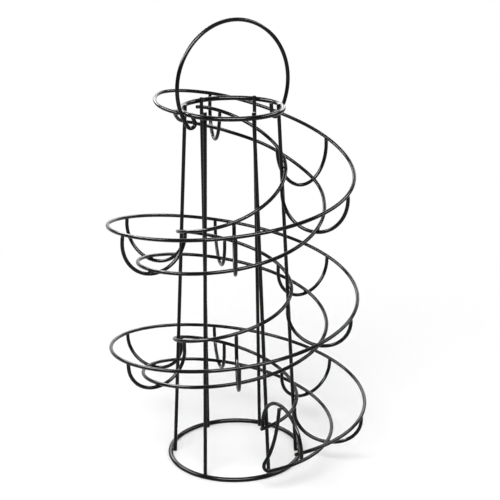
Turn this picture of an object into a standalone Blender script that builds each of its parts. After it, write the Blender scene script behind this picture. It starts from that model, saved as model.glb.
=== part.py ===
"""A rolling egg rack of coated steel wire.

Six uprights inside two rings make a tapered core. Three rails wind round it as one spiral channel, held
by U-shaped brackets, and eggs roll down the channel to an arched stop at its foot. A bail hooks under
the top ring and turns there. Lengths are metres and +Z is up. The origin is on the floor, under the
middle of the rack's outline, and the core's axis stands a little beside it. Azimuths are degrees from
+X towards +Y about that axis, and they fall as the channel winds downhill.
"""

import math

import bpy
from mathutils import Vector
from mathutils.geometry import intersect_point_line

# Core: two rings and the uprights inside them
BASE_RING_RADIUS = 0.0550
TOP_RING_RADIUS = 0.0403
FRAME_HEIGHT = 0.2950
RING_WIRE = 0.0038
UPRIGHT_WIRE = 0.0030
UPRIGHT_STANDOUT = 0.0015
UPRIGHT_FOOT_LIFT = 0.0005
UPRIGHT_TOP_AZIMUTHS = (-2, 60, 132, 182, 236, 297)
UPRIGHT_FOOT_AZIMUTHS = (-2, 65, 118, 179, 241, 302)

# Channel: three rails and the brackets that carry them
OUTER_RAIL_RADIUS = 0.1000
RAIL_WIRE = 0.0030
CHANNEL_DEPTH = 0.0275
BRACKET_WIRE = 0.0030
BRACKET_LEG = 0.0010
BRACKET_TILT = 2.5
BRACKET_TILT_SHARE = 0.5
BRACKET_AZIMUTHS = (104, 30, -26, -89, -147, -208, -261, -323, -384, -448, -505, -566, -620, -682, -739)

# Where each rail starts and ends
OUTER_RAIL_AZIMUTHS = (203, -785)
INNER_RAIL_AZIMUTHS = (135, -787)
LOWER_RAIL_AZIMUTHS = (194, -797.5)

# End stop: an arch over the channel's foot, and the lower rail's upturned end
STOP_AZIMUTH = -783
STOP_HEIGHT = 0.0295
STOP_LEG_DROP = 0.0030
UPTURN_RADIUS = 0.0050
UPTURN_BOW = 0.0080
UPTURN_KNEE_SHARE = 0.42

# Bail: a wide arc of wire with a hook at each end
HANDLE_WIRE = 0.0032
HANDLE_RADIUS = 0.0503
HANDLE_RISE = 0.0182
HANDLE_OFFSET = 0.0021
HANDLE_AZIMUTH = 31
HOOK_RADIUS = 0.0036
HOOK_DROP = 0.0100
HOOK_GAP = 0.0003

# Welded wires touch in life; here they keep this gap
WELD_GAP = 0.0004

# Where the core's axis stands from the middle of the rack's outline: the channel's foot reaches out further
AXIS_ACROSS = -0.00354
AXIS_BACK = -0.00158

# A rail's distance out, as shares of the way from the top ring's weld to the outer rail's radius
OUTER_SPREAD_SHARES = (
    (203, 0.0), (178, 0.226), (140, 0.509), (105, 0.544), (45, 0.747), (0, 0.919),
    (-90, 0.98), (-360, 1.02), (-600, 1.056), (-720, 1.157), (-784, 1.152),
)

# Heights, as shares of the frame's height
OUTER_HEIGHT_SHARES = (
    (203, 1.0), (178, 1.006), (140, 1.014), (105, 0.993), (45, 0.909), (0, 0.834),
    (-180, 0.683), (-360, 0.477), (-540, 0.328), (-720, 0.162), (-784, 0.150),
)
INNER_HEIGHT_SHARES = (
    (195, 0.986), (127, 0.981), (20, 0.866), (-90, 0.728), (-180, 0.660),
    (-360, 0.497), (-540, 0.345), (-720, 0.170), (-787, 0.141),
)

# The lower rail's place in the channel: across it from the inner rail, and down from the other two
LOWER_ACROSS_SHARES = (
    (160, 0.178), (130, 0.124), (97, 0.317), (61, 0.582), (32, 0.695), (0, 0.586),
    (-90, 0.597), (-180, 0.587), (-360, 0.538), (-720, 0.52), (-790, 0.54),
)
LOWER_DEPTH_SHARES = (
    (180, 0.05), (160, 0.44), (130, 0.67), (97, 0.76), (61, 0.85), (32, 1.09), (-30, 1.11),
    (-180, 1.03), (-360, 0.99), (-540, 0.96), (-720, 0.91), (-790, 0.83),
)

# Facets
WIRE_SIDES = 8
WIRE_BEVEL_STEPS = WIRE_SIDES // 2 - 2
RING_SEGMENTS = 60
RAIL_STEP = 6
BRACKET_SEGMENTS = 12
HANDLE_SEGMENTS = 17
HOOK_SEGMENTS = 8
UPTURN_SEGMENTS = 5
POST_SEGMENTS = 6
DEPTH_TRIALS = 40

# A faceted wire lies on the flat of its section, which is nearer its centre than its corners
FLAT_SHARE = math.cos(math.pi / WIRE_SIDES)
BASE_RING_HEIGHT = RING_WIRE / 2 * FLAT_SHARE
TOP_RING_HEIGHT = BASE_RING_HEIGHT + FRAME_HEIGHT


def make_collection(name):
    """Adds a collection to the scene, in place of any of that name."""
    old = bpy.data.collections.get(name)
    if old:
        bpy.data.collections.remove(old)
    collection = bpy.data.collections.new(name)
    bpy.context.scene.collection.children.link(collection)
    return collection


def make_coat(name, colour, roughness):
    """A black coat on steel wire."""
    coat = bpy.data.materials.new(name)
    coat.use_nodes = True
    shader = coat.node_tree.nodes["Principled BSDF"]
    shader.inputs["Base Color"].default_value = (*colour, 1.0)
    shader.inputs["Roughness"].default_value = roughness
    shader.inputs["Metallic"].default_value = 0.0
    return coat


def add_wire(name, points, diameter, coat, closed=False, place=(0, 0, 0), azimuth=0.0, section_turn=0.0):
    """A round wire along the points, which are given about its own place by the core's axis and azimuth."""
    curve = bpy.data.curves.new(name, "CURVE")
    curve.dimensions = "3D"
    curve.twist_mode = "Z_UP" if closed else "MINIMUM"
    curve.bevel_depth = diameter / 2
    curve.bevel_resolution = WIRE_BEVEL_STEPS
    curve.use_fill_caps = not closed
    spline = curve.splines.new("POLY")
    spline.points.add(len(points) - 1)
    for vertex, point in zip(spline.points, points):
        vertex.co = (*point, 1.0)
        vertex.tilt = section_turn
    spline.use_cyclic_u = closed
    curve.materials.append(coat)
    wire = bpy.data.objects.new(name, curve)
    wire.location = Vector(place) + Vector((AXIS_ACROSS, AXIS_BACK, 0))
    wire.rotation_euler = (0.0, 0.0, math.radians(azimuth))
    parts.objects.link(wire)
    return wire


def along(stations, azimuth):
    """The value at an azimuth of a smooth curve through (azimuth, value) stations listed downhill."""
    places = [-station[0] for station in stations]
    values = [station[1] for station in stations]
    spans = [b - a for a, b in zip(places, places[1:])]
    slopes = [(b - a) / span for a, b, span in zip(values, values[1:], spans)]
    leans = [
        (slopes[i] * spans[i + 1] + slopes[i + 1] * spans[i]) / (spans[i] + spans[i + 1])
        for i in range(len(spans) - 1)
    ]
    leans.insert(0, (3 * slopes[0] - leans[0]) / 2)
    leans.append((3 * slopes[-1] - leans[-1]) / 2)
    i = 0
    while i < len(spans) - 1 and -azimuth > places[i + 1]:
        i += 1
    t = (-azimuth - places[i]) / spans[i]
    start = (1 + 2 * t) * (1 - t) ** 2 * values[i] + t * (1 - t) ** 2 * spans[i] * leans[i]
    end = t * t * (3 - 2 * t) * values[i + 1] - t * t * (1 - t) * spans[i] * leans[i + 1]
    return start + end


def polar(radius, azimuth, height):
    """A point at a distance from the axis, an azimuth and a height."""
    angle = math.radians(azimuth)
    return Vector((radius * math.cos(angle), radius * math.sin(angle), height))


def share_height(share):
    """A height given as a share of the way from the base ring to the top ring."""
    return BASE_RING_HEIGHT + FRAME_HEIGHT * share


def weld_distance(one_wire, other_wire):
    """The distance between the centrelines of two wires welded side by side."""
    return (one_wire + other_wire) / 2 + WELD_GAP


def core_radius(height):
    """The distance of an upright's centreline from the axis at a height."""
    inside = weld_distance(RING_WIRE, UPRIGHT_WIRE)
    share = (height - BASE_RING_HEIGHT) / FRAME_HEIGHT
    return (BASE_RING_RADIUS - inside) * (1 - share) + (TOP_RING_RADIUS - inside) * share


def outer_rail_at(azimuth):
    """The outer rail's distance out and height. Its upper end runs onto the top ring's outer side."""
    weld = TOP_RING_RADIUS + weld_distance(RING_WIRE, RAIL_WIRE)
    radius = weld + (OUTER_RAIL_RADIUS - weld) * along(OUTER_SPREAD_SHARES, azimuth)
    return radius, share_height(along(OUTER_HEIGHT_SHARES, azimuth))


def inner_rail_at(azimuth):
    """The inner rail's distance out and height. It lies on the outer side of the uprights."""
    height = share_height(along(INNER_HEIGHT_SHARES, azimuth))
    return core_radius(height) + weld_distance(UPRIGHT_WIRE, RAIL_WIRE), height


def lower_rail_at(azimuth):
    """The lower rail's distance out and height, between the other two rails and below them.

    Over its first stretch it comes down from a weld on the top ring's outer side.
    """
    first = LOWER_RAIL_AZIMUTHS[0]
    outer_radius, outer_height = outer_rail_at(first)
    inner_radius, inner_height = inner_rail_at(first)
    weld = TOP_RING_RADIUS + weld_distance(RING_WIRE, RAIL_WIRE)
    start_across = (weld - inner_radius) / (outer_radius - inner_radius)
    start_drop = (outer_height + inner_height) / 2 - TOP_RING_HEIGHT
    across = along(((first, start_across), *LOWER_ACROSS_SHARES), azimuth)
    drop = along(((first, start_drop / CHANNEL_DEPTH), *LOWER_DEPTH_SHARES), azimuth)
    outer_radius, outer_height = outer_rail_at(azimuth)
    inner_radius, inner_height = inner_rail_at(azimuth)
    radius = inner_radius + (outer_radius - inner_radius) * across
    return radius, (outer_height + inner_height) / 2 - CHANNEL_DEPTH * drop


def rail_point(rail_at, azimuth):
    """The point of a rail's centreline at an azimuth."""
    radius, height = rail_at(azimuth)
    return polar(radius, azimuth, height)


def rail_points(rail_at, ends):
    """Points along a rail from its upper end to its lower end."""
    first, last = ends
    steps = math.ceil((first - last) / RAIL_STEP)
    return [rail_point(rail_at, first + (last - first) * i / steps) for i in range(steps + 1)]


def half_oval(centre, out, down, half_width, depth):
    """Half an oval in a plane, from one side of its width round to the other."""
    points = []
    for i in range(BRACKET_SEGMENTS + 1):
        angle = math.pi * i / BRACKET_SEGMENTS
        points.append(centre + out * (half_width * math.cos(angle)) + down * (depth * math.sin(angle)))
    return points


def distance_to(points, spot):
    """The least distance from a spot to the straight runs between points."""
    least = math.inf
    for start, end in zip(points, points[1:]):
        nearest, share = intersect_point_line(spot, start, end)
        if share < 0:
            nearest = start
        elif share > 1:
            nearest = end
        least = min(least, (spot - nearest).length)
    return least


def channel_section(azimuth):
    """The rails' places in the upright plane at an azimuth, with X out from the axis and Z up."""
    outer_radius, outer_height = outer_rail_at(azimuth)
    inner_radius, inner_height = inner_rail_at(azimuth)
    lower_radius, lower_height = lower_rail_at(azimuth)
    outer = Vector((outer_radius, 0.0, outer_height))
    inner = Vector((inner_radius, 0.0, inner_height))
    lower = Vector((lower_radius, 0.0, lower_height))
    return outer, inner, lower


def fall(rail_at, azimuth):
    """How far a rail falls for each length that it runs on the level, at an azimuth."""
    run = rail_point(rail_at, azimuth - RAIL_STEP) - rail_point(rail_at, azimuth)
    return abs(run.z) / math.hypot(run.x, run.y)


def leg_end(rail_at, azimuth):
    """How far under a rail's centreline a bracket's leg ends, clear of the rail on its slope."""
    slope = fall(rail_at, azimuth)
    return RAIL_WIRE / 2 * math.hypot(1, slope) + BRACKET_WIRE / 2 * slope + WELD_GAP


def bracket_points(azimuth):
    """A bracket: its legs end under the outer and the inner rail, and its bend holds the lower rail."""
    outer, inner, lower = channel_section(azimuth)
    chord = math.atan2(outer.z - inner.z, outer.x - inner.x)
    tilt = math.radians(BRACKET_TILT) + chord * BRACKET_TILT_SHARE
    out = Vector((math.cos(tilt), 0.0, math.sin(tilt)))
    down = Vector((math.sin(tilt), 0.0, -math.cos(tilt)))
    middle = (outer + inner) / 2
    half_width = (outer - inner).dot(out) / 2
    outer_end = outer + down * leg_end(outer_rail_at, azimuth)
    inner_end = inner + down * leg_end(inner_rail_at, azimuth)
    leg = max((outer_end - middle).dot(down), (inner_end - middle).dot(down)) + BRACKET_LEG
    shallow = (lower - middle).dot(down) - leg
    deep = shallow + half_width
    seat = weld_distance(RAIL_WIRE, BRACKET_WIRE) * math.hypot(1, fall(lower_rail_at, azimuth))
    for _ in range(DEPTH_TRIALS):
        depth = (shallow + deep) / 2
        bend = half_oval(middle + down * leg, out, down, half_width, depth)
        if distance_to(bend, lower) < seat:
            shallow = depth
        else:
            deep = depth
    return [outer_end] + bend + [inner_end]


def stop_arch_points():
    """The end stop: a half oval over the channel, its legs beside the outer and the inner rail."""
    outer, inner, _ = channel_section(STOP_AZIMUTH)
    out = (outer - inner).normalized()
    up = Vector((-out.z, 0.0, out.x))
    middle = (outer + inner) / 2
    half_width = (outer - inner).length / 2 + weld_distance(RAIL_WIRE, BRACKET_WIRE)
    arch = half_oval(middle, out, up, half_width, STOP_HEIGHT)
    return [arch[0] - up * STOP_LEG_DROP] + arch + [arch[-1] - up * STOP_LEG_DROP]


def upturn_points(run_in, post_top):
    """The lower rail's end: it runs on past the stop, bends up and rises in a bow to the stop's crown."""
    corner = run_in[-1]
    along_rail = (run_in[-1] - run_in[-2]).normalized()
    knee = corner + (post_top - corner) * UPTURN_KNEE_SHARE - along_rail * UPTURN_BOW
    along_post = (knee - corner).normalized()
    turn = along_rail.angle(along_post)
    cut = UPTURN_RADIUS * math.tan(turn / 2)
    start = corner - along_rail * cut
    inward = (along_post - along_rail * along_rail.dot(along_post)).normalized()
    centre = start + inward * UPTURN_RADIUS
    bend = []
    for i in range(UPTURN_SEGMENTS + 1):
        angle = turn * i / UPTURN_SEGMENTS
        spoke = along_rail * math.sin(angle) - inward * math.cos(angle)
        bend.append(centre + spoke * UPTURN_RADIUS)
    kept = [point for point in run_in if (point - corner).length > cut * 2]
    post = []
    for i in range(1, POST_SEGMENTS + 1):
        t = i / POST_SEGMENTS
        post.append(bend[-1] * (1 - t) ** 2 + knee * (2 * t * (1 - t)) + post_top * t * t)
    return kept + bend + post


def stop_crown():
    """The place beside the stop's crown where the upturned end of the lower rail is welded."""
    outer, inner, lower = channel_section(STOP_AZIMUTH)
    out = (outer - inner).normalized()
    centre = (outer + inner) / 2
    half_width = (outer - inner).length / 2 + weld_distance(RAIL_WIRE, BRACKET_WIRE)
    across = (lower - centre).dot(out)
    rise = STOP_HEIGHT * math.sqrt(1 - (across / half_width) ** 2)
    side = math.degrees(weld_distance(RAIL_WIRE, BRACKET_WIRE) / lower.x)
    return polar(lower.x, STOP_AZIMUTH - side, centre.z + rise)


def handle_side(arc_middle):
    """Half of the bail, from its hook's tip up to its crown, with X out from the axis to that side."""
    arc_centre = Vector((arc_middle, 0.0, HANDLE_RISE))
    foot_angle = math.asin((HANDLE_RISE + HOOK_DROP) / HANDLE_RADIUS)
    towards_foot = Vector((math.cos(foot_angle), 0.0, -math.sin(foot_angle)))
    hook_centre = arc_centre + towards_foot * (HANDLE_RADIUS - HOOK_RADIUS)
    tip = TOP_RING_RADIUS - (RING_WIRE + HANDLE_WIRE) / 2 - HOOK_GAP
    points = [Vector((tip, 0.0, 0.0))]
    for i in range(HOOK_SEGMENTS + 1):
        angle = -math.pi + (math.pi - foot_angle) * i / HOOK_SEGMENTS
        points.append(hook_centre + Vector((math.cos(angle), 0.0, math.sin(angle))) * HOOK_RADIUS)
    sweep = math.pi / 2 + foot_angle
    for i in range(1, HANDLE_SEGMENTS + 1):
        angle = -foot_angle + sweep * i / HANDLE_SEGMENTS
        points.append(arc_centre + Vector((math.cos(angle), 0.0, math.sin(angle))) * HANDLE_RADIUS)
    return points


def handle_points():
    """The bail in its own plane, X along its hinge line and Z up from it, from hook tip to hook tip."""
    far_side = [Vector((-point.x, 0.0, point.z)) for point in handle_side(-HANDLE_OFFSET)]
    return handle_side(HANDLE_OFFSET) + far_side[-2::-1]


def build_rings():
    """The base ring, flat on the floor, and the top ring."""
    section_turn = math.pi / WIRE_SIDES
    for name, radius, height in (
        ("base_ring", BASE_RING_RADIUS, BASE_RING_HEIGHT),
        ("top_ring", TOP_RING_RADIUS, TOP_RING_HEIGHT),
    ):
        points = [polar(radius, 360 * i / RING_SEGMENTS, 0.0) for i in range(RING_SEGMENTS)]
        add_wire(name, points, RING_WIRE, core_coat, True, place=(0, 0, height), section_turn=section_turn)


def build_uprights():
    """Six straight wires inside the rings, each leaning in as it rises."""
    foot_height = UPRIGHT_FOOT_LIFT
    top_height = TOP_RING_HEIGHT + RING_WIRE / 2 + UPRIGHT_STANDOUT
    for i, (foot_azimuth, top_azimuth) in enumerate(zip(UPRIGHT_FOOT_AZIMUTHS, UPRIGHT_TOP_AZIMUTHS)):
        foot = polar(core_radius(foot_height), foot_azimuth, foot_height)
        top = polar(core_radius(top_height), top_azimuth, top_height)
        points = [Vector((0, 0, 0)), top - foot]
        add_wire(f"upright_{i + 1}", points, UPRIGHT_WIRE, core_coat, place=foot)


def build_rails():
    """The outer, inner and lower rails. The lower rail's end turns up to the stop."""
    add_wire("outer_rail", rail_points(outer_rail_at, OUTER_RAIL_AZIMUTHS), RAIL_WIRE, rail_coat)
    add_wire("inner_rail", rail_points(inner_rail_at, INNER_RAIL_AZIMUTHS), RAIL_WIRE, rail_coat)
    lower = upturn_points(rail_points(lower_rail_at, LOWER_RAIL_AZIMUTHS), stop_crown())
    add_wire("lower_rail", lower, RAIL_WIRE, rail_coat)


def build_brackets():
    """The brackets down the channel, and the arch that stops the eggs."""
    for i, azimuth in enumerate(BRACKET_AZIMUTHS):
        points = bracket_points(azimuth)
        add_wire(f"bracket_{i + 1:02d}", points, BRACKET_WIRE, bracket_coat, azimuth=azimuth)
    add_wire("egg_stop_arch", stop_arch_points(), BRACKET_WIRE, bracket_coat, azimuth=STOP_AZIMUTH)


def build_handle():
    """The bail, placed on the line through its two hooks, which is its hinge line."""
    place = (0, 0, TOP_RING_HEIGHT)
    add_wire("carry_handle", handle_points(), HANDLE_WIRE, handle_coat, place=place, azimuth=HANDLE_AZIMUTH)


for leftover in list(bpy.data.objects):
    bpy.data.objects.remove(leftover)
parts = make_collection("rolling_egg_rack")
core_coat = make_coat("core_wire_coat", (0.012, 0.012, 0.012), 0.38)
rail_coat = make_coat("rail_wire_coat", (0.013, 0.013, 0.013), 0.34)
bracket_coat = make_coat("bracket_wire_coat", (0.014, 0.014, 0.014), 0.40)
handle_coat = make_coat("handle_wire_coat", (0.016, 0.016, 0.016), 0.32)
build_rings()
build_uprights()
build_rails()
build_brackets()
build_handle()
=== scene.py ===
"""A rolling egg rack of black coated wire, dressed and lit on a white studio sheet.

Every wire of the rack is swept again here as a smooth round wire along the same line that its solid
follows, with cut ends, the slow unevenness of a dipped coat, and a bead of metal at each weld. The core,
the three rails, the brackets, the end stop and the bail are a class each. Lengths are metres, +Z is up,
and azimuths are degrees from +X towards +Y about the core's axis.
"""

import logging
import math
from dataclasses import dataclass, field
from enum import Enum
from typing import Callable

import bpy
import numpy as np
from mathutils import Matrix, Vector
from numpy.typing import NDArray


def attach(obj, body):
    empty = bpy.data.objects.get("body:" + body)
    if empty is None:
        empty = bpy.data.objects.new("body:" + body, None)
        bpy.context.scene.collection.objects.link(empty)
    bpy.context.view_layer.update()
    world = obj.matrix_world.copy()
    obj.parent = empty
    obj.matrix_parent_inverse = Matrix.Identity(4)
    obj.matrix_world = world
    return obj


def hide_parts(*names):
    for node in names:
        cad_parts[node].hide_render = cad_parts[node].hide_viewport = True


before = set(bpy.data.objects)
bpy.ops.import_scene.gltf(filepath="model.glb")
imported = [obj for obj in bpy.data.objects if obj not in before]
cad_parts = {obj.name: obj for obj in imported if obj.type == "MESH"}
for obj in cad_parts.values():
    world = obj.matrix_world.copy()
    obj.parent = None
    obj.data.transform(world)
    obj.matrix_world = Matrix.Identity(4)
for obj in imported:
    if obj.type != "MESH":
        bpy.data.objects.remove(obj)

Floats = NDArray[np.float64]
Whole = NDArray[np.int64]
Span = tuple[float, float]
Bead = tuple[float, float]
Pattern = tuple[float, float]
Place = tuple[float, float, float]
Colour = tuple[float, float, float]
Socket = bpy.types.NodeSocket

LOG = logging.getLogger("egg_rack")

# Where the core's axis stands in the frame, and straight up
CORE_AXIS = np.array((-0.00354, -0.00158, 0.0))
UP = np.array((0.0, 0.0, 1.0))

# How finely the wires and the weld beads are divided
WIRE_SIDES = 24
BEAD_SIDES = 14
BEAD_RINGS = 9
EDGE_STEPS = 4

# The rounded edge of a cut end, and how far from a closed wire's seam the coat's ripple has faded in
CUT_EDGE = 0.00045
SEAM_FADE = 0.03

# The coat's ripple: each wave's length, its height as a share of the radius, and its two shifts
RIPPLES = ((0.034, 0.006, 1.7, 0.0), (0.015, 0.004, 2.9, 0.6), (0.0065, 0.002, 4.3, 1.9))

# A weld bead's two ends as shares of the way across, its lumps, and how far each bead's are turned on
BEAD_SHARES = (0.14, 0.86)
BEAD_LUMPS = (0.07, 0.04)
BEAD_LEAN = 2.4

# A bead whose direction rises more than this is measured from +X and not from straight up
STEEP = 0.8

# The attribute that says how much a place has been rubbed
RUB = "rub"

WHITE = (1.0, 1.0, 1.0, 1.0)


class Slot(Enum):
    """The record's material slots."""

    CORE_WIRE = "core_wire"
    RAIL_WIRE = "rail_wire"
    BRACKET_WIRE = "bracket_wire"
    HANDLE_WIRE = "handle_wire"


class Rides(Enum):
    """The bodies that a piece can ride on."""

    RACK = "rack"
    HANDLE = "handle"


class LampFor(Enum):
    """What a lamp does: light and shine together, or only the gleam along the wires."""

    LIGHT = "light"
    GLEAM = "gleam"


class WireForm(Enum):
    """Whether a wire closes on itself or is cut at both ends."""

    CUT = "cut"
    CLOSED = "closed"


# Small geometry


def unit(vectors: Floats) -> Floats:
    """Each vector divided by its own length."""
    return vectors / np.linalg.norm(vectors, axis=-1, keepdims=True)


def polar(radius: Floats | float, azimuth: Floats | float, height: Floats | float) -> Floats:
    """Places on or round the core's axis: (radius * cos(azimuth), radius * sin(azimuth), height).

    Args:
        radius: distance out from the core's axis.
        azimuth: degrees round it.
        height: height over the floor.

    Returns:
        One place per azimuth, in the frame's own coordinates.
    """
    radius, azimuth, height = np.broadcast_arrays(
        np.asarray(radius, float), np.radians(np.asarray(azimuth, float)), np.asarray(height, float)
    )
    return np.stack((radius * np.cos(azimuth), radius * np.sin(azimuth), height), axis=-1) + CORE_AXIS


def outward(azimuth: Floats | float) -> Floats:
    """The level direction away from the core's axis at an azimuth."""
    angle = np.radians(np.asarray(azimuth, float))
    return np.stack((np.cos(angle), np.sin(angle), np.zeros_like(angle)), axis=-1)


def plane_side(azimuth: float) -> Floats:
    """The level direction square to the upright plane at an azimuth."""
    return np.cross(outward(azimuth), UP)


def smoothstep(low: float, high: float, value: Floats) -> Floats:
    """0 below low, 1 above high, and 3t^2 - 2t^3 between, where t is the share of the way."""
    share = np.clip((value - low) / (high - low), 0.0, 1.0)
    return share * share * (3.0 - 2.0 * share)


def distance_to_path(path: Floats, spot: Floats) -> tuple[float, Floats]:
    """The least distance from a spot to the straight runs between a path's places.

    Args:
        path: the places, one row each.
        spot: the place to measure from.

    Returns:
        The distance, and the nearest place on the path.
    """
    start, run = path[:-1], np.diff(path, axis=0)
    share = np.clip(((spot - start) * run).sum(axis=1) / (run * run).sum(axis=1), 0.0, 1.0)
    nearest = start + run * share[:, None]
    gaps = np.linalg.norm(nearest - spot, axis=1)
    closest = int(gaps.argmin())
    return float(gaps[closest]), nearest[closest]


@dataclass(frozen=True)
class Stations:
    """A value that changes smoothly with the azimuth, given at stations listed downhill.

    Between two stations it is the cubic with the stations' values and leans, where a lean is the mean of
    the slopes on its two sides, each weighted by the span on the other side.
    """

    marks: tuple[tuple[float, float], ...]

    def at(self, azimuth: Floats | float) -> Floats:
        """The values at some azimuths.

        Args:
            azimuth: degrees, falling downhill.

        Returns:
            start * (1 + 2t)(1 - t)^2 + lean * span * t(1 - t)^2 and the same from the other end.
        """
        marks = np.asarray(self.marks, float)
        places, values = -marks[:, 0], marks[:, 1]
        spans = np.diff(places)
        slopes = np.diff(values) / spans
        inner = (slopes[:-1] * spans[1:] + slopes[1:] * spans[:-1]) / (spans[:-1] + spans[1:])
        first = (3.0 * slopes[0] - inner[0]) / 2.0
        last = (3.0 * slopes[-1] - inner[-1]) / 2.0
        leans = np.concatenate(((first,), inner, (last,)))
        downhill = -np.asarray(azimuth, float)
        i = np.searchsorted(places[1:-1], downhill, side="left")
        t = (downhill - places[i]) / spans[i]
        start = (1 + 2 * t) * (1 - t) ** 2 * values[i] + t * (1 - t) ** 2 * spans[i] * leans[i]
        end = t * t * (3 - 2 * t) * values[i + 1] - t * t * (1 - t) * spans[i] * leans[i + 1]
        return start + end


# Surfaces: wires and weld beads


@dataclass(frozen=True)
class Surface:
    """A closed surface and what is known at each of its points.

    Attributes:
        points: the places, one row each.
        normals: the outward direction at each.
        station: which place of the wire's path each point belongs to.
        quads: four-sided faces, counter-clockwise from outside.
        caps: three-sided faces round the poles.
    """

    points: Floats
    normals: Floats
    station: Whole
    quads: Whole
    caps: Whole


def coat_ripple(lengths: Floats, seed: float) -> Floats:
    """The slow unevenness of a dipped coat: a sum of sine waves, the longest the highest.

    Each wave is height * sin(2 pi * lengths / wavelength + lean * seed + shift).

    Args:
        lengths: how far along the wire each place is.
        seed: shifts the waves, so that no two wires match.

    Returns:
        The share by which the wire's radius grows or shrinks at each place.
    """
    waves = (
        height * np.sin(lengths * (2 * math.pi / wavelength) + lean * seed + shift)
        for wavelength, height, lean, shift in RIPPLES
    )
    return sum(waves)


def tube_faces(rings: int, sides: int, closed: bool) -> Whole:
    """The four-sided faces between neighbouring rings of points.

    Args:
        rings: how many rings there are.
        sides: how many points are in each.
        closed: whether the last ring joins the first.

    Returns:
        Point numbers (i, j), (i, j+1), (i+1, j+1), (i+1, j), which face outwards.
    """
    runs = rings if closed else rings - 1
    i, j = np.meshgrid(np.arange(runs), np.arange(sides), indexing="ij")
    here, after, beside = i * sides, (i + 1) % rings * sides, (j + 1) % sides
    loop = (here + j, here + beside, after + beside, after + j)
    return np.stack(loop, axis=-1).reshape(-1, 4)


def pole_faces(first: int, pole: int, sides: int, leading: bool) -> Whole:
    """The fan of three-sided faces from one ring to the pole that closes it.

    Args:
        first: the number of the ring's first point.
        pole: the number of the pole.
        sides: how many points are in the ring.
        leading: whether the pole stands before the ring or after it.

    Returns:
        One face for each side, facing outwards.
    """
    j = np.arange(sides)
    here, beside = first + j, first + (j + 1) % sides
    tip = np.full(sides, pole)
    return np.stack((beside, here, tip) if leading else (here, beside, tip), axis=-1)


def sweep_wire(path: Floats, radius: float, side: Floats, form: WireForm, seed: float) -> Surface:
    """Carries a circle along a path: place + radius * (cos(turn) * side + sin(turn) * (direction x side)).

    A cut end has a small rounded edge: edge * (1 - sin(angle)) before the end the circle is drawn in by
    edge * (1 - cos(angle)), for angles from 0 to 90 degrees. A pole closes its flat.

    Args:
        path: the wire's centreline.
        radius: half the wire's thickness.
        side: a direction that is never along the wire, one for all or one for each place.
        form: cut at both ends, or closed on itself.
        seed: which ripple the coat has.

    Returns:
        The wire's surface.
    """
    closed = form is WireForm.CLOSED
    if closed:
        heading = unit(np.roll(path, -1, axis=0) - np.roll(path, 1, axis=0))
    else:
        heading = unit(np.gradient(path, axis=0))
    steps = np.linalg.norm(np.diff(path, axis=0), axis=1)
    lengths = np.concatenate(((0.0,), np.cumsum(steps)))
    sizes = radius * (1.0 + coat_ripple(lengths, seed))
    station = np.arange(len(path))
    if closed:
        blend = smoothstep(0.0, SEAM_FADE, lengths) * smoothstep(0.0, SEAM_FADE, lengths[-1] - lengths)
        sizes = radius + (sizes - radius) * blend
        centres = path
    else:
        turn = np.linspace(0.0, math.pi / 2, EDGE_STEPS + 1)
        inset = CUT_EDGE * (1.0 - np.sin(turn))
        drawn_in = CUT_EDGE * (1.0 - np.cos(turn))
        head = path[0] + heading[0] * inset[::-1, None]
        tail = path[-1] - heading[-1] * inset[:, None]
        centres = np.concatenate((head, path[1:-1], tail))
        sizes = np.concatenate((sizes[0] - drawn_in[::-1], sizes[1:-1], sizes[-1] - drawn_in))
        ends = EDGE_STEPS + 1
        station = np.concatenate((np.zeros(ends, int), station[1:-1], np.full(ends, len(path) - 1)))
        heading = heading[station]
    reference = np.broadcast_to(side, path.shape)[station]
    reference = unit(reference - heading * (reference * heading).sum(axis=1, keepdims=True))
    other = np.cross(heading, reference)
    turn = np.arange(WIRE_SIDES) * (2 * math.pi / WIRE_SIDES)
    spokes = np.cos(turn)[None, :, None] * reference[:, None] + np.sin(turn)[None, :, None] * other[:, None]
    points = (centres[:, None] + spokes * sizes[:, None, None]).reshape(-1, 3)
    normals = spokes.reshape(-1, 3)
    stations = np.repeat(station, WIRE_SIDES)
    quads = tube_faces(len(centres), WIRE_SIDES, closed)
    caps = np.zeros((0, 3), int)
    if not closed:
        count = len(points)
        points = np.concatenate((points, path[:1], path[-1:]))
        normals = np.concatenate((normals, -heading[:1], heading[-1:]))
        stations = np.concatenate((stations, (0, len(path) - 1)))
        lead = pole_faces(0, count, WIRE_SIDES, True)
        trail = pole_faces(count - WIRE_SIDES, count + 1, WIRE_SIDES, False)
        caps = np.concatenate((lead, trail))
    return Surface(points, normals, stations, quads, caps)


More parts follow.
